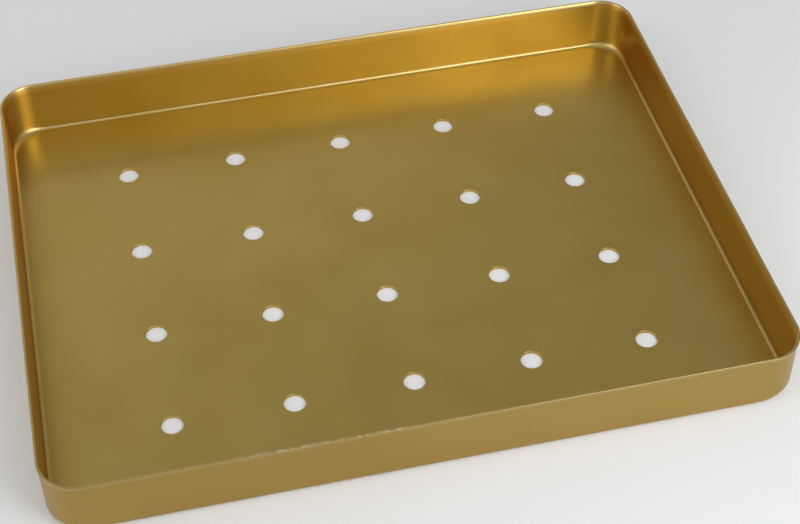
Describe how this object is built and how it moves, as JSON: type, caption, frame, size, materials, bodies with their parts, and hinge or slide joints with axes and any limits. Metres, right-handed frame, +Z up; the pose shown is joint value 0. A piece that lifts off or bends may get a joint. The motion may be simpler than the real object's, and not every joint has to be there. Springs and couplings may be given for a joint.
{
  "type": "perforated baking tray",
  "caption": "Rectangular pressed sheet-metal baking tray with rounded corners, upright walls, a plain rim and a flat base punched with a grid of round holes.",
  "frame": {"origin": "centre of the base's underside, where the tray rests on a table or rack", "axes": "+X along the long side, +Y along the short side, +Z up out of the open top"},
  "size_m": [0.3498, 0.2748, 0.032],
  "materials": {
    "gold_anodised_sheet": "satin gold anodised aluminium sheet"
  },
  "bodies": {
    "root": {"tray": "gold_anodised_sheet"}
  },
  "joints": []
}
